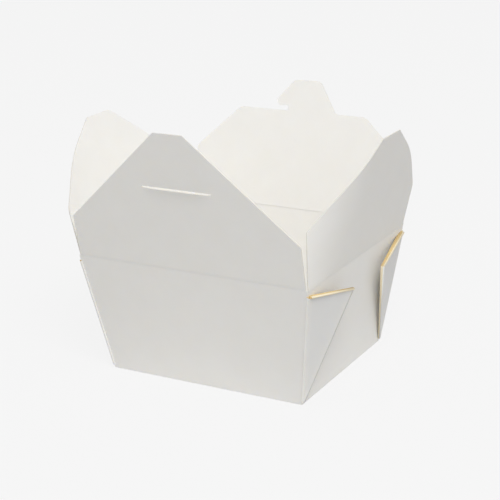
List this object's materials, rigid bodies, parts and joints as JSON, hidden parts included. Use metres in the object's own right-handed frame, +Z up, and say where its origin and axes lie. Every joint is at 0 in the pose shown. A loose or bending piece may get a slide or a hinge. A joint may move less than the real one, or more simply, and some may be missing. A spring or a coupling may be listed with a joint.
{
  "type": "takeout food box",
  "caption": "White fold-up paperboard takeout box with flared walls, folded web corners and hinged top flaps that lock with a hooked tab in a slit, standing open.",
  "frame": {"origin": "middle of the base's underside", "axes": "+Z up, -Y towards the slotted front flap, +X towards the right end wall"},
  "size_m": [0.1642, 0.1385, 0.1362],
  "materials": {
    "paperboard": "smooth white coated board, matt to slightly satin, with bare tan cut edges"
  },
  "bodies": {
    "tray": {"tray": "paperboard"},
    "front_flap": {"front_flap": "paperboard"},
    "back_flap": {"back_flap": "paperboard"},
    "left_flap": {"left_flap": "paperboard"},
    "right_flap": {"right_flap": "paperboard"}
  },
  "joints": [
    {"name": "front_flap_fold", "type": "hinge", "parent": "tray", "child": "front_flap", "pos_m": [0, -0.05538, 0.06484], "axis": [-1, 0, 0], "range_deg": [-90, 100]},
    {"name": "back_flap_fold", "type": "hinge", "parent": "tray", "child": "back_flap", "pos_m": [0, 0.05552, 0.06564], "axis": [1, 0, 0], "range_deg": [-90, 102]},
    {"name": "left_flap_fold", "type": "hinge", "parent": "tray", "child": "left_flap", "pos_m": [-0.06475, 0, 0.06404], "axis": [0, 1, 0], "range_deg": [-90, 107]},
    {"name": "right_flap_fold", "type": "hinge", "parent": "tray", "child": "right_flap", "pos_m": [0.06475, 0, 0.06404], "axis": [0, -1, 0], "range_deg": [-90, 104]}
  ]
}
